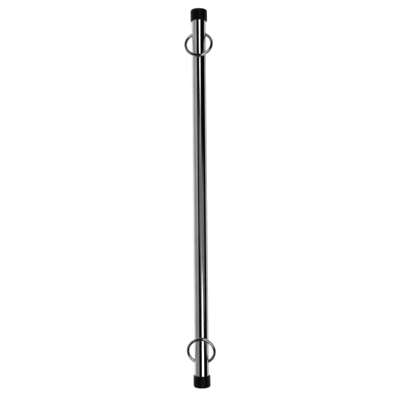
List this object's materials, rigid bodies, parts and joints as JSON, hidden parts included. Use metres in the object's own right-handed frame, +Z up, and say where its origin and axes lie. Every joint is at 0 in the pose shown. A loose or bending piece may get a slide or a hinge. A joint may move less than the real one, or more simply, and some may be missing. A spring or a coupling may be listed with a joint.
{
  "type": "bed cargo bar",
  "caption": "Fixed-length chromed steel tube bar with rubber end caps and a swinging tie-down ring through a cross-hole near each end.",
  "frame": {"origin": "under the middle of the bar, on the surface that its two rubber caps lie on", "axes": "+X along the bar, +Z up, and the cross-holes of the rings along Y"},
  "size_m": [0.6, 0.0464, 0.0296],
  "materials": {
    "chromed_tube": "polished",
    "cap_rubber": "satin",
    "washer_steel": "brushed",
    "chromed_ring": "polished"
  },
  "bodies": {
    "bar": {"bar_tube": "chromed_tube", "end_cap_left": "cap_rubber", "end_cap_right": "cap_rubber", "cap_washer_left": "washer_steel", "cap_washer_right": "washer_steel"},
    "ring_left": {"tie_ring_left": "chromed_ring"},
    "ring_right": {"tie_ring_right": "chromed_ring"}
  },
  "joints": [
    {"name": "ring_left_swing", "type": "hinge", "parent": "bar", "child": "ring_left", "pos_m": [-0.2598, 0, 0.01353], "axis": [0, -1, 0], "range_deg": [0, 134.75]},
    {"name": "ring_right_swing", "type": "hinge", "parent": "bar", "child": "ring_right", "pos_m": [0.2598, 0, 0.01353], "axis": [0, 1, 0], "range_deg": [0, 134.75]}
  ]
}
